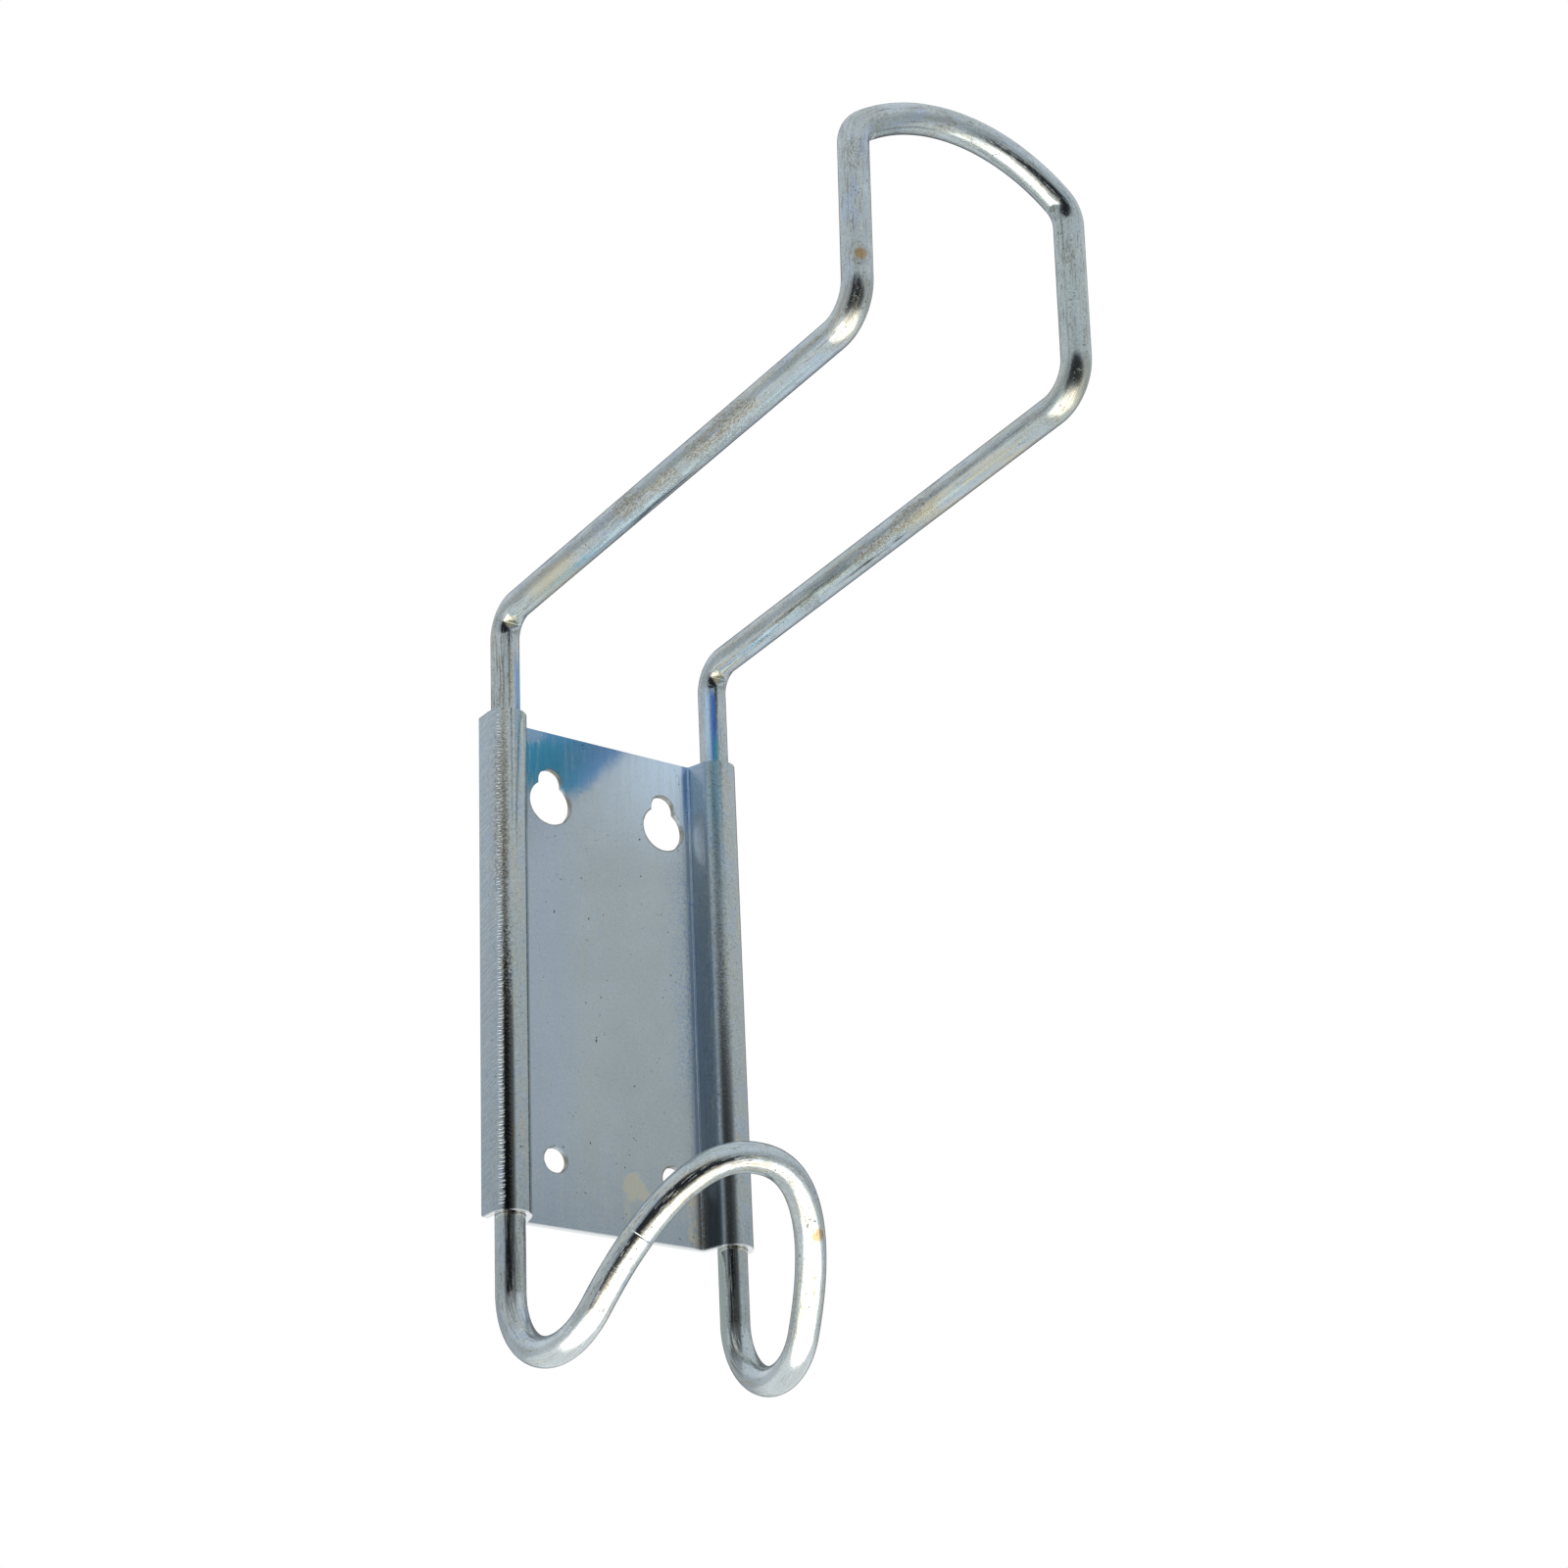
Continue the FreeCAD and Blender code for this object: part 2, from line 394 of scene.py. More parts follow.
# the small hook's axis from the left curl to the right one, at even steps
def smallHook():
    # round the curl, before the arch begins
    lead = [rod["archStart"] * step / rod["curlSteps"] for step in range(rod["curlSteps"])]
    fine = [wrapped(-legX, along) for along in lead]
    fine += [hookPoint(180 - 180 * step / rod["archSteps"]) for step in range(rod["archSteps"] + 1)]
    fine += [wrapped(legX, along) for along in reversed(lead)]
    points = []
    gone = 0.0
    for first, second in zip(fine, fine[1:]):
        gap = (second - first).length
        while gone < gap:
            points.append(first.lerp(second, gone / gap))
            gone += rod["hookStep"]
        gone -= gap
    return points[1:]


def mirrored(point):
    return Vector((-point.x, point.y, point.z))


# gives the path closer points where it crosses the weld
def refined(points, middle):
    finer = []
    for first, second in zip(points, points[1:] + points[:1]):
        near = (first - middle).length < rod["weldReach"]
        count = round((second - first).length / rod["weldStep"]) if near else 1
        finer += [first.lerp(second, step / count) for step in range(count)]
    return finer


def rodAxis():
    right, marks = upperHalf()
    left = [mirrored(point) for point in reversed(right[:-1])]
    loop = refined(right + left + smallHook(), hookPoint(rod["weldSweep"]))
    first = next(i for i, point in enumerate(loop) if point.z > rod["seamHeight"])
    return loop[first:] + loop[:first], marks


def linkPath(name, points):
    data = bpy.data.curves.new(name, "CURVE")
    data.dimensions = "3D"
    spline = data.splines.new("POLY")
    spline.points.add(len(points) - 1)
    for place, point in zip(spline.points, points):
        place.co = (*(point * mm), 1.0)
    spline.use_cyclic_u = True
    holder = bpy.data.objects.new(name, data)
    bpy.context.scene.collection.objects.link(holder)
    return holder


# runs a Geometry Nodes tree on an object and gives the result as a plain mesh object
def bakeNodes(source, group, values, name):
    modifier = source.modifiers.new("nodes", "NODES")
    modifier.node_group = group
    for item in group.interface.items_tree:
        if item.item_type == "SOCKET" and item.in_out == "INPUT" and item.name in values:
            modifier[item.identifier] = values[item.name]
    bpy.context.view_layer.update()
    evaluated = source.evaluated_get(bpy.context.evaluated_depsgraph_get())
    mesh = bpy.data.meshes.new_from_object(evaluated)
    bpy.data.objects.remove(source)
    made = bpy.data.objects.new(name, mesh)
    bpy.context.scene.collection.objects.link(made)
    return made


# a group with these inputs beside its geometry; gives its tree and the inputs' sockets as well
def openGroup(name, kinds):
    group = bpy.data.node_groups.new(name, "GeometryNodeTree")
    for label, kind in {"Geometry": "Geometry", **kinds}.items():
        group.interface.new_socket(label, in_out="INPUT", socket_type="NodeSocket" + kind)
    group.interface.new_socket("Geometry", in_out="OUTPUT", socket_type="NodeSocketGeometry")
    tree = Tree(group)
    given = tree.node("NodeGroupInput")
    return group, tree, {output.name: Value(tree, output) for output in given.socket.node.outputs}


# ends a group with smooth, real and coated geometry
def closeGroup(tree, geometry, finish):
    smooth = tree.node("GeometryNodeSetShadeSmooth", None, {"Geometry": geometry, "Shade Smooth": True})
    whole = tree.node("GeometryNodeRealizeInstances", None, {"Geometry": smooth})
    coated = tree.node("GeometryNodeSetMaterial", None, {"Geometry": whole, "Material": finish})
    tree.node("NodeGroupOutput", None, {0: coated})


def storeNamed(tree, geometry, name, kind, value):
    settings = {"data_type": kind, "domain": "POINT"}
    sockets = {"Geometry": geometry, "Name": name, "Value": value}
    return tree.node("GeometryNodeStoreNamedAttribute", settings, sockets)


# the round section swept along the path, which keeps the way along and round the rod for the finish
def sweepGroup():
    group, tree, inputs = openGroup("rodSweep", {"Radius": "Float", "Sides": "Int", "Finish": "Material"})
    ring = tree.node("GeometryNodeCurvePrimitiveCircle", {"mode": "RADIUS"},
                     {"Resolution": inputs["Sides"], "Radius": inputs["Radius"]})
    place = tree.node("GeometryNodeInputPosition")
    aroundRing = tree.node("ShaderNodeVectorMath", {"operation": "NORMALIZE"}, {0: place})
    ring = storeNamed(tree, ring, "around", "FLOAT_VECTOR", aroundRing)
    length = tree.node("GeometryNodeSplineParameter", None, None, "Length")
    path = storeNamed(tree, inputs["Geometry"], "along", "FLOAT", length)
    tube = tree.node("GeometryNodeCurveToMesh", None, {"Curve": path, "Profile Curve": ring})
    closeGroup(tree, tube, inputs["Finish"])
    return group


# Zinc

zinc = {
    "grey": (0.445, 0.50, 0.51, 1.0),
    "pale": (0.52, 0.585, 0.61, 1.0),
    "slate": (0.33, 0.40, 0.445, 1.0),
    "sky": (0.66, 0.80, 0.94, 1.0),
    "tan": (0.52, 0.51, 0.42, 1.0),
    "green": (0.42, 0.475, 0.44, 1.0),
    "lavender": (0.42, 0.50, 0.61, 1.0),
    "bright": (0.76, 0.82, 0.84, 1.0),
    # a painted highlight for the sheet's cut ends
    "cut": (0.96, 0.97, 0.96, 1.0),
    # dark brown for real scuffs, lines and rims, and also for painted shade in the right crease and painted
    # dark grain on the right hoop
    "scuff": (0.25, 0.22, 0.16, 1.0),
    # near black for real pits and scratches, and also for painted dark reflection bands on the legs and
    # hoops and painted shade at the flank's foot
    "pit": (0.045, 0.045, 0.04, 1.0),
    "straw": (0.60, 0.56, 0.42, 1.0),
    "rust": (0.42, 0.27, 0.10, 1.0),
}

# blue films that the passivation left; the last colour is painted shade, not a film
films = {
    "teal": (0.035, 0.29, 0.46, 1.0),
    "blue": (0.16, 0.34, 0.60, 1.0),
    "pale": (0.50, 0.68, 0.86, 1.0),
    "deep": (0.04, 0.15, 0.50, 1.0),
    "dusk": (0.19, 0.27, 0.40, 1.0),
}


# edges of spots and speckles
coatEdges = {
    "spotWobble": 1.6,         # shares of a spot's radius
    "spotRim": (1.15, 0.75),
    "speckDetail": 2.0,
    "speckRoughness": 0.5,
    "speckSoftness": 0.05,
    "gatherSoftness": 0.12,
}


# A finish in the making: its colour is painted over layer by layer. Places are in millimetres.
# Maps are the noises and masks that several layers share.
class Coat:
    def __init__(self, name, colour, patches):
        self.finish = bpy.data.materials.new(name)
        self.finish.use_nodes = True
        self.tree = Tree(self.finish.node_tree)
        self.colour = colour
        self.patches = patches
        self.maps = {}
        place = self.tree.node("ShaderNodeTexCoord", None, None, "Object")
        sockets = {0: place, "Scale": 1 / mm}
        self.place = self.tree.node("ShaderNodeVectorMath", {"operation": "SCALE"}, sockets)
        x, y, z = self.tree.split(self.place)
        self.measures = {"x": x, "y": y, "z": z, "rightX": x - legX, "leftX": x + legX}

    def paint(self, share, colour):
        self.colour = self.tree.tint(share, self.colour, colour)

    # 1 where all the named patches overlap. Two limits say where a patch starts and where it is full;
    # three give its low side, its high side and their softness.
    def patch(self, *names):
        share = None
        for name in names:
            for measure, limits in self.patches[name].items():
                value = self.measures[measure]
                side = value.between(*limits) if len(limits) == 3 else value.fade(*limits)
                share = side if share is None else share * side
        return share

    # 1 near a point and 0 a little further out, with an edge that a noise makes uneven
    def spot(self, middle, radius, wobble, place=None):
        sockets = {0: place or self.place, 1: middle}
        away = self.tree.node("ShaderNodeVectorMath", {"operation": "DISTANCE"}, sockets, "Value")
        away = away + (wobble - 0.5) * radius * coatEdges["spotWobble"]
        outer, inner = coatEdges["spotRim"]
        return away.fade(radius * outer, radius * inner)

    # speckles where a fine noise passes its limit, gathered where a broad one is high
    def specks(self, place, settings):
        detail, roughness = coatEdges["speckDetail"], coatEdges["speckRoughness"]
        fine = self.tree.noise(self.place, settings["scale"], detail, roughness)
        broad = self.tree.noise(place, settings["spread"], detail, roughness)
        specked = fine.fade(settings["limit"], settings["limit"] + coatEdges["speckSoftness"])
        return specked * broad.fade(settings["gather"], settings["gather"] + coatEdges["gatherSoftness"])

    def addNoises(self, noises, places):
        for name, place in places.items():
            self.maps[name] = self.tree.noise(place, *noises[name])

    # how far a point lies to the right of a leg's axis, and before it, as the camera sees it
    def addLeg(self, name, turn):
        right, back = self.measures[name + "X"], self.measures["y"] + rod["legStandoff"]
        side = right * cosine(turn) - back * sine(turn)
        self.measures[name + "Side"] = side
        self.measures[name + "Aside"] = side.size()
        self.measures[name + "Front"] = (right * sine(turn) + back * cosine(turn)) * -1.0

    # a sum of maps, each times its share
    def blend(self, shares, start=0.0):
        total = start
        for name, share in shares.items():
            total = self.maps[name] * share + total
        return total

    # ends the finish; the relief is the height of its bump
    def close(self, roughness, height, relief):
        shader = self.tree.node("ShaderNodeBsdfPrincipled", None, {
            "Base Color": self.colour, "Metallic": 1.0, "Roughness": roughness,
            "Normal": self.tree.bump(height, relief * mm)})
        self.tree.node("ShaderNodeOutputMaterial", None, {"Surface": shader})
        return self.finish


# how far to the left each leg sees the camera, in degrees from straight in front
rightLegTurn, leftLegTurn = 35.0, 31.0

# noises on the rod: scale, detail and roughness
rodNoises = {
    "broad": (0.16, 3.0, 0.55),
    "blotch": (0.30, 4.0, 0.60),
    "streak": (0.90, 4.0, 0.65),
    "thread": (3.0, 2.0, 0.50),
    "grain": (1.5, 3.0, 0.62),
    "fine": (2.6, 4.0, 0.70),
    "drawnStretch": 0.05,      # of the streaks and threads, which lie along the rod
    "skinStretch": 0.35,
}
rodPits = {"scale": 1.2, "spread": 0.2, "limit": 0.66, "gather": 0.48}

# how much rougher each map makes the rod, and how far it stands up or lies sunk
rodRoughness = {"streak": 0.08, "marks": 0.2, "pits": 0.15, "top": 0.04, "tipRoots": 0.05, "leftStain": 0.15}
rodHeights = {"streak": 0.7, "thread": 0.4, "grain": 0.3, "pits": -0.9, "lines": -0.6, "marks": -0.4}
rodPlainRoughness = 0.13
rodRelief = 0.06

# places on the rod; depth is measured up from the arms' axes
rodPatches = {
    "left": {"x": (6.0, -24.0)},
    "top": {"y": (-156.0, -168.0)},                  # tips and crossbar
    "rightTip": {"x": (0.0, 24.0), "z": (172.0, 150.0)},
    "tipRoots": {"y": (-160.0, -168.0), "z": (121.0, 113.0)},
    "arms": {"y": (-160.0, -22.0, 4.0), "z": (80.0, 90.0)},
    "undersides": {"depth": (-3.1, -3.8)},
    "rightStain": {"x": (0.0, 10.0), "y": (-152.0, -104.0, 9.0), "depth": (-1.4, -2.6)},
    "leftStain": {"x": (0.0, -10.0), "y": (-44.0, -12.0, 7.0), "depth": (-0.6, -2.2)},
    "scratch": {"fromScratch": (0.34, 0.16), "y": (-98.0, -74.0, 5.0), "depth": (-3.0, -3.4)},
    "legs": {"y": (-16.0, -12.0)},                   # and not the arms
    "rightFilm": {"rightSide": (-3.0, -1.2), "rightFront": (0.5, 1.5), "z": (70.0, 94.0, 3.0)},
    "rightFilmEdge": {"rightSide": (1.2, 0.9)},
    "rightFilmDeep": {"rightSide": (-1.6, 0.4)},
    "rightFilmFoot": {"rightSide": (-0.6, 0.2), "z": (82.0, 76.0)},
    "leftFilm": {"leftX": (0.9, 2.8, 0.5), "y": (-5.4, -6.4), "z": (70.0, 87.0, 6.0)},
    "leftStreaks": {"leftSide": (0.6, -0.4), "leftFront": (-1.0, 1.0), "z": (70.0, 95.0, 4.0)},
    "underPlate": {"z": (-67.0, -71.0)},
    "overCurls": {"y": (-25.0, -14.0), "z": (-114.0, -96.0)},
    "rightDark": {"rightAside": (2.0, 1.1), "rightFront": (0.0, 1.0)},
    "leftDark": {"leftAside": (1.9, 0.9), "leftFront": (0.0, 1.0), "z": (-106.0, -90.0)},
    "olive": {"rightSide": (-1.8, -2.6), "x": (0.0, 5.0)},
    "curlBottomHighlight": {"y": (-16.0, -26.0), "z": (-103.0, -110.0)},
}

# scuffs and spots of rust: the middle and the reach of each
scuffs = {
    "arms": [((-36.8, -122.0, 104.0), 11.0), ((-36.8, -108.0, 103.0), 7.0), ((-36.8, -89.4, 102.3), 6.0),
             ((-37.7, -73.3, 102.7), 8.0), ((32.0, -105.7, 103.4), 9.0), ((32.4, -86.1, 102.2), 8.0),
             ((33.4, -56.3, 100.3), 5.0)],
    "tips": [((-36.0, -176.0, 123.9), 3.2), ((-37.0, -177.5, 152.0), 4.5), ((-30.0, -178.0, 166.0), 4.0),
             ((31.0, -176.0, 147.0), 2.6), ((-8.0, -178.5, 171.5), 3.5)],
    "rust": [((-36.0, -176.0, 123.9), 1.6), ((22.6, -60.2, -83.2), 1.9)],
    "slimness": 0.45,          # width of the arms' scuffs, as a share of their length
    "scratchOffset": 33.6,     # from the middle of the hook to the dark scratch under each arm
    "markMiddle": (34.5, -10.2, 97.4),
    "markReach": 2.0,
    "markShift": 1.2,          # of both marks, to the left
}


def addRodMaps(coat):
    tree = coat.tree
    along = tree.node("ShaderNodeAttribute", {"attribute_name": "along"}, None, "Fac") * (1 / mm)
    around = tree.node("ShaderNodeAttribute", {"attribute_name": "around"}, None, "Vector")
    ringX, ringY, _ = tree.split(around)
    radius = rod["diameter"] / 2
    drawn = tree.join(ringX * radius, ringY * radius, along * rodNoises["drawnStretch"])
    skin = tree.join(ringX * radius, ringY * radius, along * rodNoises["skinStretch"])
    coat.addNoises(rodNoises, {"broad": skin, "blotch": skin, "fine": skin, "streak": drawn, "thread": drawn,
                               "grain": coat.place})
    coat.maps["pits"] = coat.specks(skin, rodPits)
    coat.maps["top"] = coat.patch("top")
    coat.addLeg("right", rightLegTurn)
    coat.addLeg("left", leftLegTurn)
    slope = math.tan(math.radians(rod["armRise"]))
    y, z = coat.measures["y"], coat.measures["z"]
    coat.measures["depth"] = z - rod["armRootHeight"] + (y + rod["legStandoff"]) * slope
    coat.measures["fromScratch"] = (coat.measures["x"].size() - scuffs["scratchOffset"]).size()


def paintRodSkin(coat):
    streak, grain, top = coat.maps["streak"], coat.maps["grain"], coat.maps["top"]
    coat.paint(coat.maps["broad"].fade(0.40, 0.60), zinc["grey"])
    coat.paint(coat.maps["blotch"].fade(0.50, 0.64) * (0.35 + coat.patch("left") * 0.45), zinc["lavender"])
    coat.paint(streak.fade(0.50, 0.62) * (0.8 - top * 0.45), zinc["tan"])
    coat.paint(streak.fade(0.44, 0.34) * 0.7, zinc["green"])
    coat.paint(top * coat.patch("rightTip") * 0.4, zinc["green"])
    coat.paint(grain.fade(0.56, 0.76) * 0.4, zinc["pit"])
    coat.paint(grain.fade(0.46, 0.28) * 0.4, zinc["bright"])


# scuffs gathered in stretches along the arms and on the tips, and spots of rust, pits and fine lines
def paintRodWear(coat):
    blotch, fine = coat.maps["blotch"], coat.maps["fine"]
    slim = scuffs["slimness"]
    squeezed = coat.tree.join(coat.measures["x"], coat.measures["y"] * slim, coat.measures["z"])
    worn = None
    for (x, y, z), radius in scuffs["arms"]:
        here = coat.spot((x, y * slim, z), radius * slim, blotch, squeezed)
        worn = here if worn is None else worn.most(here)
    for middle, radius in scuffs["tips"]:
        worn = worn.most(coat.spot(middle, radius, blotch) * 0.5)
    marks = fine.fade(0.47, 0.55) * worn
    loose = fine.fade(0.56, 0.61) * coat.maps["streak"].fade(0.50, 0.57)
    coat.paint(marks.most(loose) * 0.8, zinc["scuff"])
    coat.paint(fine.fade(0.47, 0.40) * worn * 0.8, zinc["tan"])
    for middle, radius in scuffs["rust"]:
        coat.paint(coat.spot(middle, radius, fine) * 0.8, zinc["rust"])
    coat.paint(coat.maps["pits"] * 0.8, zinc["pit"])
    lines = coat.maps["thread"].fade(0.58, 0.64) * blotch.fade(0.42, 0.54)
    coat.paint(lines * 0.6, zinc["scuff"])
    coat.maps["marks"] = marks
    coat.maps["lines"] = lines


# the undersides of the arms are bluer, with stains and a dark scratch; the arm-root marks are straw-coloured
def paintArms(coat):
    streak = coat.maps["streak"]
    coat.paint(coat.patch("undersides", "arms") * 0.3, films["pale"])
    coat.paint(coat.patch("rightStain") * streak.fade(0.40, 0.52) * 0.7, zinc["straw"])
    coat.maps["leftStain"] = coat.patch("leftStain", "arms")
    coat.paint(coat.maps["leftStain"] * 0.6, zinc["straw"])
    coat.paint(coat.patch("scratch", "arms") * streak.fade(0.38, 0.5), zinc["pit"])
    x = (coat.measures["x"] + scuffs["markShift"]).size()
    bothSides = coat.tree.join(x, coat.measures["y"], coat.measures["z"])
    marked = coat.spot(scuffs["markMiddle"], scuffs["markReach"], coat.maps["grain"], bothSides)
    coat.paint(marked * 0.7, zinc["straw"])


# over the plate the legs have a blue film in front, deepest beside its sharp right edge, and dark streaks
def paintUpperLegs(coat):
    shade = coat.tree.tint(coat.patch("rightFilmDeep"), films["pale"], films["deep"])
    shade = coat.tree.tint(coat.patch("rightFilmFoot"), shade, films["teal"])
    coat.paint(coat.patch("rightFilm", "rightFilmEdge", "legs") * 0.92, shade)
    coat.paint(coat.patch("leftFilm", "legs") * (0.55 + coat.maps["blotch"] * 0.5), films["blue"])
    coat.paint(coat.patch("leftStreaks", "legs") * coat.maps["thread"].fade(0.48, 0.57) * 0.6, zinc["scuff"])


# under the plate the legs carry a painted dark reflection band in front and are olive at the side, and the
# curls have a painted highlight at the bottom
def paintLowerLegs(coat):
    streak = coat.maps["streak"]
    under = coat.patch("underPlate", "overCurls")
    # painted dark reflection down the front of each leg under the plate, in the near-black of the pits
    coat.paint(coat.patch("rightDark") * streak.fade(0.60, 0.50) * under * 0.85, zinc["pit"])
    coat.paint(coat.patch("olive") * under * 0.7, zinc["green"])
    coat.paint(coat.patch("leftDark") * streak.fade(0.62, 0.52) * under * 0.8, zinc["pit"])
    # painted highlight on the bottoms of the curls
    coat.paint(coat.patch("curlBottomHighlight") * 0.55, zinc["bright"])


def rodFinish():
    coat = Coat("rodZinc", zinc["pale"], rodPatches)
    addRodMaps(coat)
    paintRodSkin(coat)
    paintRodWear(coat)
    paintArms(coat)
    paintUpperLegs(coat)
    paintLowerLegs(coat)
    # the bends at the tips' roots are duller, and a straw tint paints the warm fringe of their reflection
    coat.maps["tipRoots"] = coat.patch("tipRoots")
    coat.paint(coat.maps["tipRoots"] * coat.maps["blotch"].fade(0.36, 0.56) * 0.4, zinc["straw"])
    return coat.close(coat.blend(rodRoughness, rodPlainRoughness), coat.blend(rodHeights), rodRelief)


# noises on the plate: scale, detail and roughness
plateNoises = {
    "broad": (0.045, 3.0, 0.60),
    "cloud": (0.16, 3.0, 0.60),
    "grain": (1.5, 3.0, 0.62),
    "edge": (0.3, 2.0, 0.55),
    "rolled": (1.1, 4.0, 0.65),
    "rolledStretch": 0.07,     # along the sheet
    "speckle": (2.0, 3.0, 0.70),
    "speckleStretch": 0.8,
    "drag": (1.0, 2.0, 0.50),
    "dragSlant": 0.3,
    "dragFineness": 1.5,
    "dragStretch": 0.2,
}
platePits = {"scale": 1.1, "spread": 0.11, "limit": 0.70, "gather": 0.47}

# how much rougher each map makes the plate, and how far it stands up or lies sunk
plateRoughness = {"shiny": -0.11, "dull": 0.04, "rolled": 0.06, "flat": 0.05, "drip": 0.15, "pits": 0.2}
plateHeights = {"rolled": 0.45, "grain": 0.35, "hoopGrain": 0.3, "pits": -0.9, "drip": 0.3, "dragged": 1.3}
platePlainRoughness = 0.17
plateRelief = 0.045

# places on the plate; rightX and leftX are measured from the legs' axes
platePatches = {
    "front": {"y": (-0.5, -1.0)},                    # all but the wall side
    "flat": {"fromMiddle": (28.0, 27.4), "y": (-3.2, -2.2)},
    "hoops": {"y": (-3.4, -4.4)},
    "outerWalls": {"fromMiddle": (38.6, 39.2)},
    "leftWall": {"x": (-38.4, -39.3)},
    "leftOfFlat": {"x": (-8.0, -19.0)},
    "topOfFlat": {"x": (-26.0, 27.0), "z": (34.0, 72.0)},
    "flank": {"x": (27.6, 32.0, 0.6), "z": (40.0, 10.0)},
    "duskyFlankShade": {"x": (27.4, 29.8, 0.9), "z": (64.0, 10.0)},
    "flankFilm": {"x": (27.6, 29.8, 0.4), "z": (20.0, 70.0)},
    "flankFootShade": {"x": (27.7, 29.6, 0.5)},
    "creaseFilm": {"x": (25.4, 27.6, 0.5), "z": (44.0, 62.0)},
    "creaseShadeLine": {"x": (26.0, 27.8, 0.3)},
    "creaseFootShade": {"x": (26.2, 27.9, 0.3)},
    "mottled": {"x": (17.0, 26.0), "z": (-25.0, 40.0, 12.0)},
    "rightCrest": {"rightX": (-4.6, -2.0, 0.8), "z": (10.0, 66.0)},
    "leftCrest": {"leftX": (-0.2, 1.3, 0.7), "z": (40.0, 66.0)},
    "topEdge": {"z": (66.0, 71.0)},
    "besideRipples": {"leftX": (-3.8, -2.6, 0.3)},
    "brownStrip": {"leftX": (-5.2, -2.4, 0.4), "x": (0.0, -10.0), "z": (18.0, 62.0, 9.0)},
    "leftHoopDarkReflection": {"leftX": (-4.1, -3.7), "y": (-7.6, -8.2)},
    "lower": {"z": (24.0, -45.0)},
    "rightBand": {"rightAside": (2.3, 0.9), "rightFront": (0.0, 2.0), "z": (46.0, -50.0)},
    "rightGrain": {"rightAside": (2.6, 1.4)},
    "right": {"x": (20.0, 27.0)},
    "shinyLeft": {"x": (-10.0, -20.0)},
    "dullRight": {"x": (10.0, 20.0)},
    "trail": {"fromTrail": (1.7, 0.5), "z": (-66.0, -58.0, 2.0)},
    "stain": {"x": (22.8, 26.2, 0.9), "z": (-46.0, -58.0)},
    "foot": {"z": (-42.0, -60.0)},
    "cutEnds": {"z": (-70.5, -70.85)},
    "slots": {"z": (54.0, 56.0)},
}

# stains and films on the flat, and the holes whose rims are brown: height and radius of each
plateMarks = {
    "drip": [((5.8, -1.5, -56.6), 3.6), ((8.6, -1.5, -58.2), 2.6)],
    "trail": 3.6,              # distance of the drip's trail from the middle
    "lavender": ((-25.0, -1.5, 71.0), 5.0),
    "filmDiagonal": 64.0,      # the blue film lies beyond this diagonal, towards the top left corner
    "acrossDiagonal": 0.7,     # makes the distance from the diagonal a true one
    "filmWobble": 9.0,
    "filmEdge": (-2.6, 3.0),
    "filmBottom": (50.0, 61.0),
    "bottomWobble": 6.0,
    "filmTurn": (-16.0, 6.0),      # where it turns from teal to blue
    "turnWobble": 8.0,
    "footTurn": (-38.0, -70.0),    # where the sheet grows darker
    "footWobble": 14.0,
    "rimEdge": (0.55, 0.25),
    "holeOffset": 18.5,
    "head": (50.0, 6.5),
    "slot": (56.25, 3.75),
    "round": (-52.5, 3.5),
}


def addPlateMaps(coat):
    tree, maps, measures = coat.tree, coat.maps, coat.measures
    x, y, z = measures["x"], measures["y"], measures["z"]
    measures["fromMiddle"] = x.size()
    measures["fromTrail"] = (x - plateMarks["trail"]).size()
    coat.addLeg("right", rightLegTurn)
    rolled = tree.join(x, y, z * plateNoises["rolledStretch"])
    speckled = tree.join(x, y, z * plateNoises["speckleStretch"])
    slant = (z + y * plateNoises["dragSlant"]) * plateNoises["dragFineness"]
    dragged = tree.join(slant, y * plateNoises["dragStretch"], 0.0)
    coat.addNoises(plateNoises, {"broad": coat.place, "cloud": coat.place, "grain": coat.place,
                                 "edge": coat.place, "rolled": rolled, "speckle": speckled, "drag": dragged})
    maps["pits"] = coat.specks(coat.place, platePits)
    maps["flat"] = coat.patch("flat", "front")
    maps["hoop"] = coat.patch("hoops").most(coat.patch("outerWalls"))
    maps["leftWall"] = coat.patch("leftWall")


# the sheet is bluer at its left, paler at its top and darker at its foot; the wall side is plain
def paintSheet(coat):
    maps = coat.maps
    cloud, rolled, grain, flat, hoop = (maps[name] for name in ("cloud", "rolled", "grain", "flat", "hoop"))
    coat.paint(maps["broad"].fade(0.40, 0.62) * 0.3, zinc["pale"])
    coat.paint(flat * coat.patch("leftOfFlat") * 0.5, zinc["lavender"])
    coat.paint(flat * coat.patch("topOfFlat") * 0.9, zinc["sky"])
    darker = (coat.measures["z"] + cloud * plateMarks["footWobble"]).fade(*plateMarks["footTurn"])
    coat.paint(darker * 0.75, zinc["slate"])
    coat.paint(rolled.fade(0.46, 0.64) * (0.2 + hoop * 0.6), zinc["tan"])
    coat.paint(cloud.fade(0.52, 0.68) * (0.12 + hoop * 0.4), zinc["lavender"])
    coat.paint(maps["leftWall"] * (0.1 + cloud * 0.5), zinc["lavender"])
    coat.paint(maps["leftWall"] * 0.25, zinc["slate"])
    # painted shade on the right channel's recessed flank, darker towards the bottom
    coat.paint(coat.patch("flank") * 0.6, zinc["slate"])
    coat.paint(coat.patch("duskyFlankShade") * 0.62, films["dusk"])
    coat.paint(coat.patch("besideRipples") * hoop * 0.6, zinc["tan"])
    coat.paint(rolled.fade(0.46, 0.32) * 0.7 * hoop, zinc["green"])
    coat.paint(grain.fade(0.54, 0.76) * (0.14 + hoop * 0.25), zinc["pit"])
    coat.paint(grain.fade(0.46, 0.26) * (0.16 + hoop * 0.2), zinc["bright"])


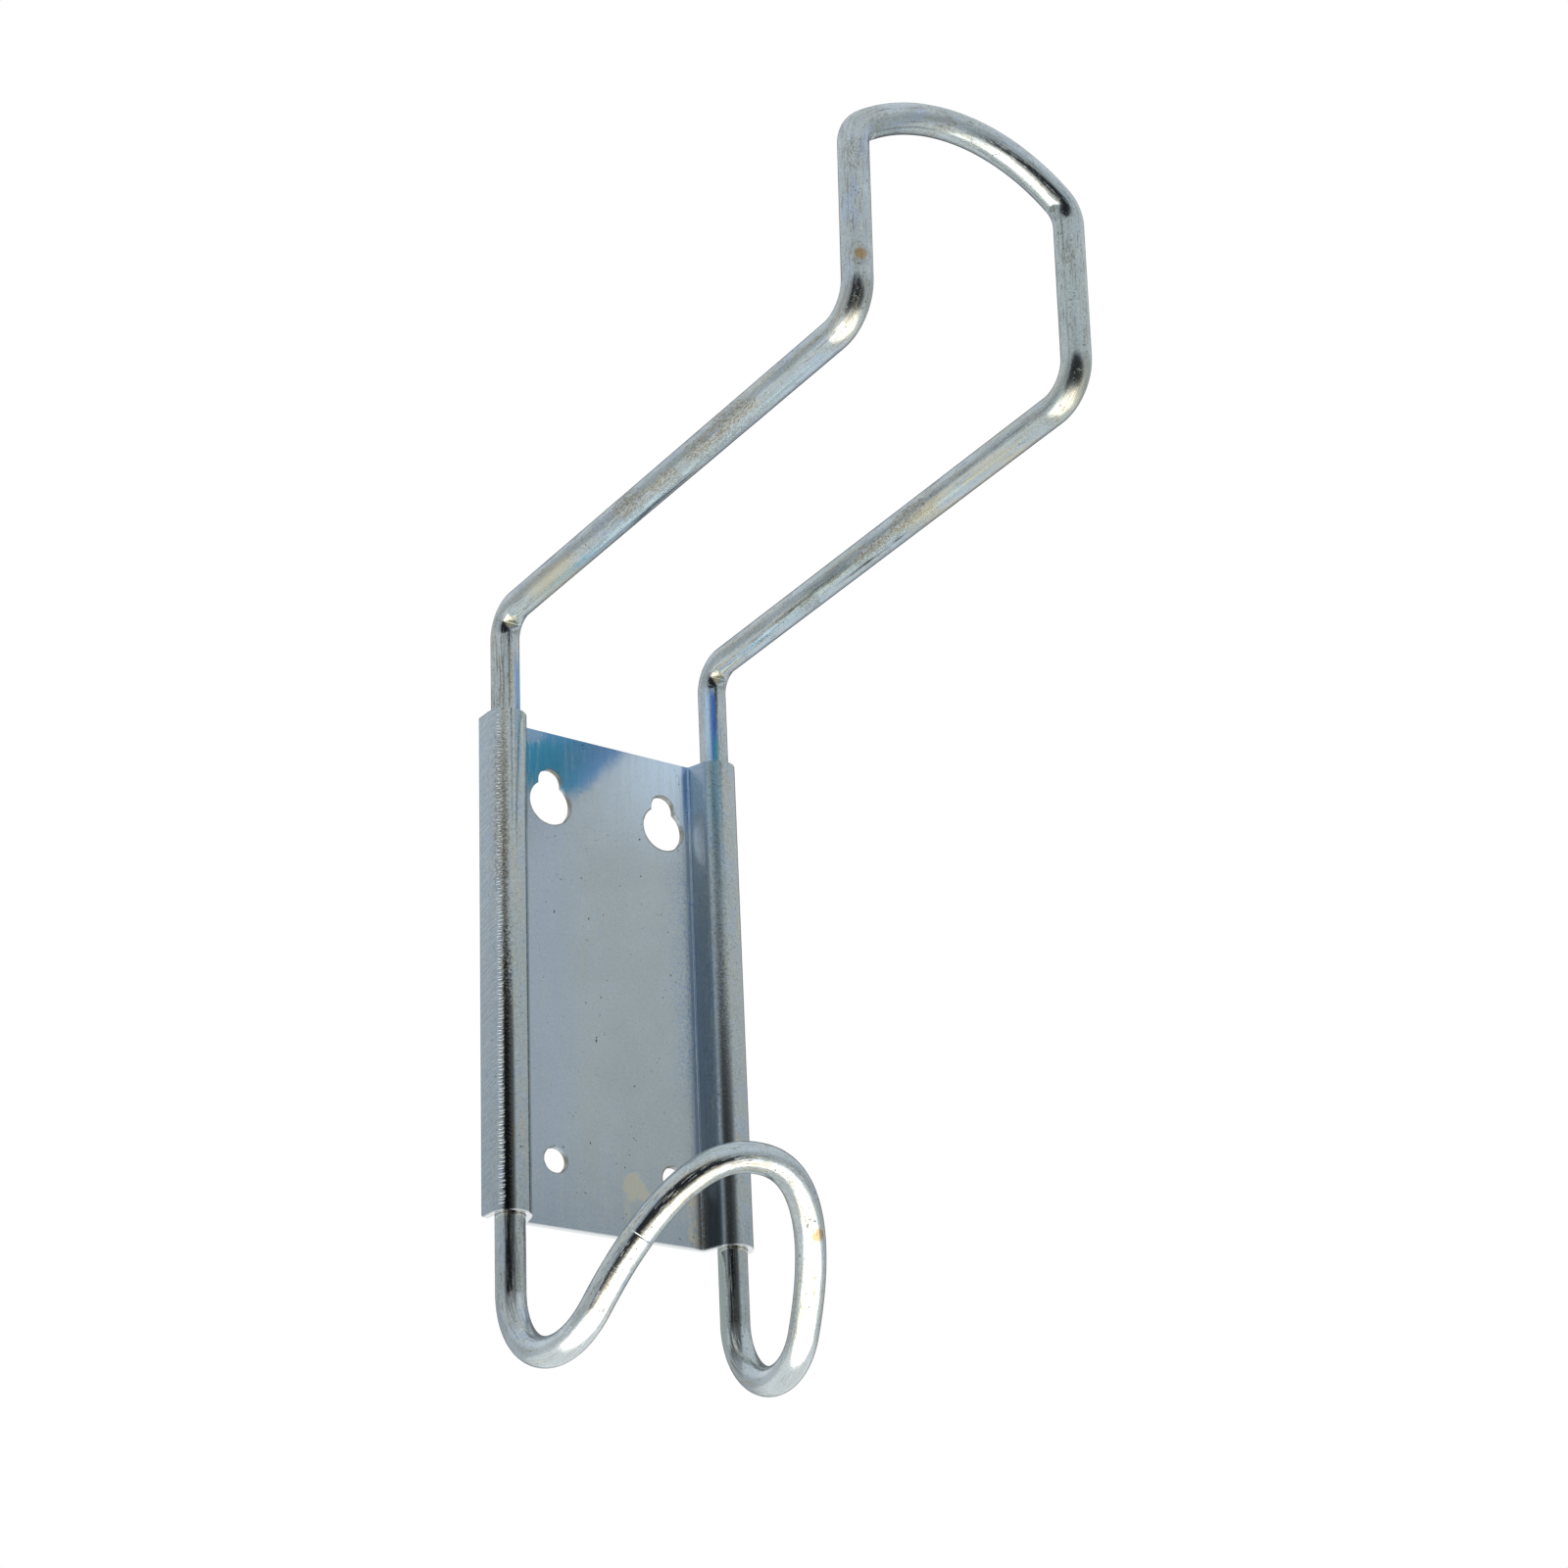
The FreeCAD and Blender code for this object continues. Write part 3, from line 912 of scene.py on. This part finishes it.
# blue films on the flat's top left corner, beside the right crease and on the crests of the hoops
def paintFilms(coat):
    tree, maps = coat.tree, coat.maps
    cloud, rolled = maps["cloud"], maps["rolled"]
    x, z = coat.measures["x"], coat.measures["z"]
    beyond = z - x - plateMarks["filmDiagonal"] + (cloud - 0.5) * plateMarks["filmWobble"]
    beyond = beyond * plateMarks["acrossDiagonal"]
    above = (z + cloud * plateMarks["bottomWobble"]).fade(*plateMarks["filmBottom"])
    corner = beyond.fade(*plateMarks["filmEdge"]) * above * maps["flat"]
    blueness = (x + cloud * plateMarks["turnWobble"]).fade(*plateMarks["filmTurn"])
    film = tree.tint(blueness.most(coat.patch("topEdge") * 0.5), films["teal"], films["blue"])
    film = tree.tint(coat.spot(*plateMarks["lavender"], maps["grain"]) * 0.5, film, zinc["lavender"])
    film = tree.tint(rolled.fade(0.50, 0.70) * 0.3, film, zinc["grey"])
    coat.paint(corner * 0.93, film)
    coat.paint(coat.patch("creaseFilm", "front") * 0.8, films["blue"])
    coat.paint(coat.patch("flankFilm") * 0.4, films["blue"])
    # a painted dark shade line along the right crease
    coat.paint(coat.patch("creaseShadeLine", "front") * rolled.fade(0.40, 0.56) * 0.45, films["dusk"])
    mottle = coat.patch("mottled") * maps["grain"].fade(0.46, 0.60)
    coat.paint(mottle * maps["flat"] * 0.45, films["blue"])
    coat.paint(coat.patch("rightCrest") * 0.5, films["teal"])
    coat.paint(coat.patch("leftCrest") * 0.45, films["teal"])


# a dried drip near the foot of the plate, a stain, painted shade along the crease and on the flank at the
# foot, dark pits and brown rims
def paintStains(coat):
    maps = coat.maps
    edge, flat = maps["edge"], maps["flat"]
    first, second = (coat.spot(middle, radius, edge) for middle, radius in plateMarks["drip"])
    maps["drip"] = first.most(second)
    trail = coat.patch("trail") * flat
    coat.paint(maps["drip"].most(trail * 0.5) * flat * 0.65, zinc["straw"])
    coat.paint(coat.patch("stain") * edge.fade(0.36, 0.50) * flat * 0.7, zinc["straw"])
    foot = coat.patch("foot", "front")
    # painted shade near the foot: a dark line in the crease and a darker flank
    coat.paint(coat.patch("creaseFootShade") * foot * maps["grain"].fade(0.40, 0.52) * 0.9, zinc["scuff"])
    coat.paint(coat.patch("flankFootShade") * foot * 0.75, zinc["pit"])
    coat.paint(maps["pits"] * 0.9, zinc["pit"])

    def rim(height, radius):
        across = coat.measures["fromMiddle"] - plateMarks["holeOffset"]
        away = (across ** 2 + (coat.measures["z"] - height) ** 2) ** 0.5
        return (away - radius).size().fade(*plateMarks["rimEdge"])

    keyhole = rim(*plateMarks["head"]).most(rim(*plateMarks["slot"]) * coat.patch("slots"))
    rims = keyhole.most(rim(*plateMarks["round"]))
    coat.paint(rims * edge.fade(0.35, 0.6) * 0.75, zinc["scuff"])


# a speckled painted dark reflection band beside the left hoop's ripples, a softer one with painted dark
# grain on the right hoop, a painted highlight on the cut ends, and drag lines on the left hoop's outer wall
def paintHoops(coat):
    maps = coat.maps
    speckle, grain, drag, wall = (maps[name] for name in ("speckle", "grain", "drag", "leftWall"))
    lower = coat.patch("lower")
    # painted dark reflection band on the left hoop's front
    width = coat.patch("leftHoopDarkReflection") * (coat.measures["leftX"] - lower * 0.5).fade(-1.6, -2.6)
    coat.paint(width * (speckle - 0.56 + lower * 0.40).fade(0.0, 0.16) * 0.85, zinc["pit"])
    # painted dark reflection band on the right hoop's front crest, with painted dark grain beside it
    band = coat.patch("rightBand", "right") * (speckle - 0.50 + lower * 0.20).fade(-0.04, 0.06)
    coat.paint(band * 0.72, zinc["pit"])
    coat.paint(coat.patch("rightGrain", "right") * grain.fade(0.52, 0.66) * 0.5, zinc["scuff"])
    # painted highlight on the cut ends
    coat.paint(coat.patch("cutEnds"), zinc["cut"])
    coat.paint(drag.fade(0.50, 0.60) * wall * 0.12, zinc["bright"])
    coat.paint(drag.fade(0.46, 0.38) * wall * 0.22, zinc["slate"])
    coat.paint(coat.patch("brownStrip") * grain.fade(0.43, 0.56) * 0.6, zinc["scuff"])


def plateFinish():
    coat = Coat("plateZinc", zinc["grey"], platePatches)
    addPlateMaps(coat)
    paintSheet(coat)
    paintFilms(coat)
    paintStains(coat)
    paintHoops(coat)
    # the left hoop is the shinier one, and the hoops are coarser than the flat
    maps = coat.maps
    maps["shiny"] = maps["hoop"] * coat.patch("shinyLeft")
    maps["dull"] = maps["hoop"] * coat.patch("dullRight")
    maps["hoopGrain"] = maps["hoop"] * maps["grain"]
    maps["dragged"] = maps["drag"] * maps["leftWall"]
    return coat.close(coat.blend(plateRoughness, platePlainRoughness), coat.blend(plateHeights), plateRelief)


rodZinc = rodFinish()
plateZinc = plateFinish()
print("zinc mixed")


# marks where the square edge of the bending block pressed in across the inside of the sharp bends
blockMarks = {
    "armDepth": 1.3,
    "armAngle": 40.0,          # from the start of the bend to the mark
    "cornerDepth": 1.0,
    "cornerAngle": 49.0,
    "reach": 6.0,              # how far from its edge a mark can touch the rod
    "sharpAngle": 25.0,
}


def pressMarks(mesh, marks):
    towardsArmMark = Quaternion(sideways, math.radians(blockMarks["armAngle"])) @ intoWall
    towardsCornerMark = Quaternion(-marks["acrossTip"], math.radians(blockMarks["cornerAngle"])) @ sideways
    rodRadius = rod["diameter"] / 2
    edges = []
    for centre, axis, towards, bend, depth in (
            (marks["armCentre"], sideways, towardsArmMark, rod["armRootBend"], blockMarks["armDepth"]),
            (marks["cornerCentre"], marks["acrossTip"], towardsCornerMark, rod["cornerBend"],
             blockMarks["cornerDepth"])):
        edge = centre + towards * (bend - rodRadius + depth)
        edges.append((edge, towards, axis.cross(towards)))
        edges.append((mirrored(edge), mirrored(towards), mirrored(axis.cross(towards))))
    for vertex in mesh.vertices:
        for edge, towards, beside in edges:
            offset = vertex.co / mm - edge
            if offset.length > blockMarks["reach"]:
                continue
            short = -offset.dot(towards) - abs(offset.dot(beside))      # how far it lies inside the block
            if short > 0:
                vertex.co += towards * short * mm
    mesh.update()
    mesh.set_sharp_from_angle(angle=math.radians(blockMarks["sharpAngle"]))


# the narrow groove round the rod where its ends meet in the weld
def pressWeld(mesh):
    middle = hookPoint(rod["weldSweep"])
    towards = (hookPoint(rod["weldSweep"] - 0.5) - middle).normalized()
    halfWidth = rod["weldWidth"] / 2
    for vertex in mesh.vertices:
        offset = vertex.co / mm - middle
        beyond = offset.dot(towards)
        if offset.length < rod["diameter"] and abs(beyond) < halfWidth:
            inward = (towards * beyond - offset).normalized()
            vertex.co += inward * rod["weldDepth"] * (1 - abs(beyond) / halfWidth) * mm


def buildRod():
    points, marks = rodAxis()
    path = linkPath("rodAxis", points)
    made = bakeNodes(path, sweepGroup(), {"Radius": rod["diameter"] / 2 * mm, "Sides": rod["sides"],
                                          "Finish": rodZinc}, "bentRod")
    pressWeld(made.data)
    pressMarks(made.data, marks)
    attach(made, "root")
    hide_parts("rod_frame")
    return made


bentRod = buildRod()
print("rod swept:", len(bentRod.data.polygons), "faces")


# Plate: the solid's own node is coated

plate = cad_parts["wall_plate"]
plate.data.materials.clear()
plate.data.materials.append(plateZinc)
print("plate coated")


# Small ripples that the folding left across the crest of the left hoop
ripples = {
    "hoopRadius": 5.7,
    "crest": 217.0,            # direction of the crest from the hoop's middle, in degrees
    "halfAngle": 12.5,
    "halfWidth": 0.34,
    "height": 0.20,
    "sunk": 0.10,
    "lowest": -69.0,
    "pitch": 1.0,
    "count": 139,
    "wander": 0.25,            # up or down from an even pitch
    "turn": 3.0,
    "shortest": 0.6,           # as shares of the half width
    "longest": 1.2,
    "segments": 8,
    "rings": 6,
    "seed": 7,
}


# a flat drop lying across the crest, mostly sunk in the sheet
def oneRipple():
    mesh = bpy.data.meshes.new("ripple")
    drop = bmesh.new()
    bmesh.ops.create_uvsphere(drop, u_segments=ripples["segments"], v_segments=ripples["rings"], radius=1.0)
    for vertex in drop.verts:
        across, up, out = vertex.co
        angle = ripples["crest"] + across * ripples["halfAngle"]
        reach = ripples["hoopRadius"] - ripples["sunk"] + out * ripples["height"]
        vertex.co = Vector((cosine(angle) * reach, sine(angle) * reach, up * ripples["halfWidth"])) * mm
    drop.to_mesh(mesh)
    drop.free()
    holder = bpy.data.objects.new("ripple", mesh)
    bpy.context.scene.collection.objects.link(holder)
    return holder


def rippleGroup():
    group, tree, inputs = openGroup("hoopRipples", {
        "Start": "Vector", "Pitch": "Float", "Count": "Int", "Wander": "Float", "Turn": "Float",
        "Shortest": "Float", "Longest": "Float", "Seed": "Int", "Finish": "Material"})

    def draw(low, high, seed):
        sockets = {2: low, 3: high, "Seed": seed}
        return tree.node("FunctionNodeRandomValue", {"data_type": "FLOAT"}, sockets, output=1)

    step = tree.join(0.0, 0.0, inputs["Pitch"])
    line = tree.node("GeometryNodeMeshLine", {"mode": "OFFSET"},
                     {"Count": inputs["Count"], "Start Location": inputs["Start"], "Offset": step})
    aside = tree.join(0.0, 0.0, draw(inputs["Wander"] * -1.0, inputs["Wander"], inputs["Seed"]))
    places = tree.node("GeometryNodeSetPosition", None, {"Geometry": line, "Offset": aside})
    turn = tree.join(0.0, 0.0, draw(inputs["Turn"] * -1.0, inputs["Turn"], inputs["Seed"] + 1.0))
    turned = tree.node("FunctionNodeEulerToRotation", None, {0: turn})
    length = tree.join(1.0, 1.0, draw(inputs["Shortest"], inputs["Longest"], inputs["Seed"] + 2.0))
    placed = tree.node("GeometryNodeInstanceOnPoints", None, {
        "Points": places, "Instance": inputs["Geometry"], "Rotation": turned, "Scale": length})
    closeGroup(tree, placed, inputs["Finish"])
    return group


def buildRipples():
    start = Vector((-legX, -rod["legStandoff"], ripples["lowest"])) * mm
    made = bakeNodes(oneRipple(), rippleGroup(), {
        "Start": start[:], "Pitch": ripples["pitch"] * mm, "Count": ripples["count"],
        "Wander": ripples["wander"] * mm, "Turn": math.radians(ripples["turn"]),
        "Shortest": ripples["shortest"], "Longest": ripples["longest"], "Seed": ripples["seed"],
        "Finish": plateZinc}, "hoopRipples")
    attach(made, "root")
    return made


hoopRipples = buildRipples()
print("ripples placed:", len(hoopRipples.data.polygons), "faces")
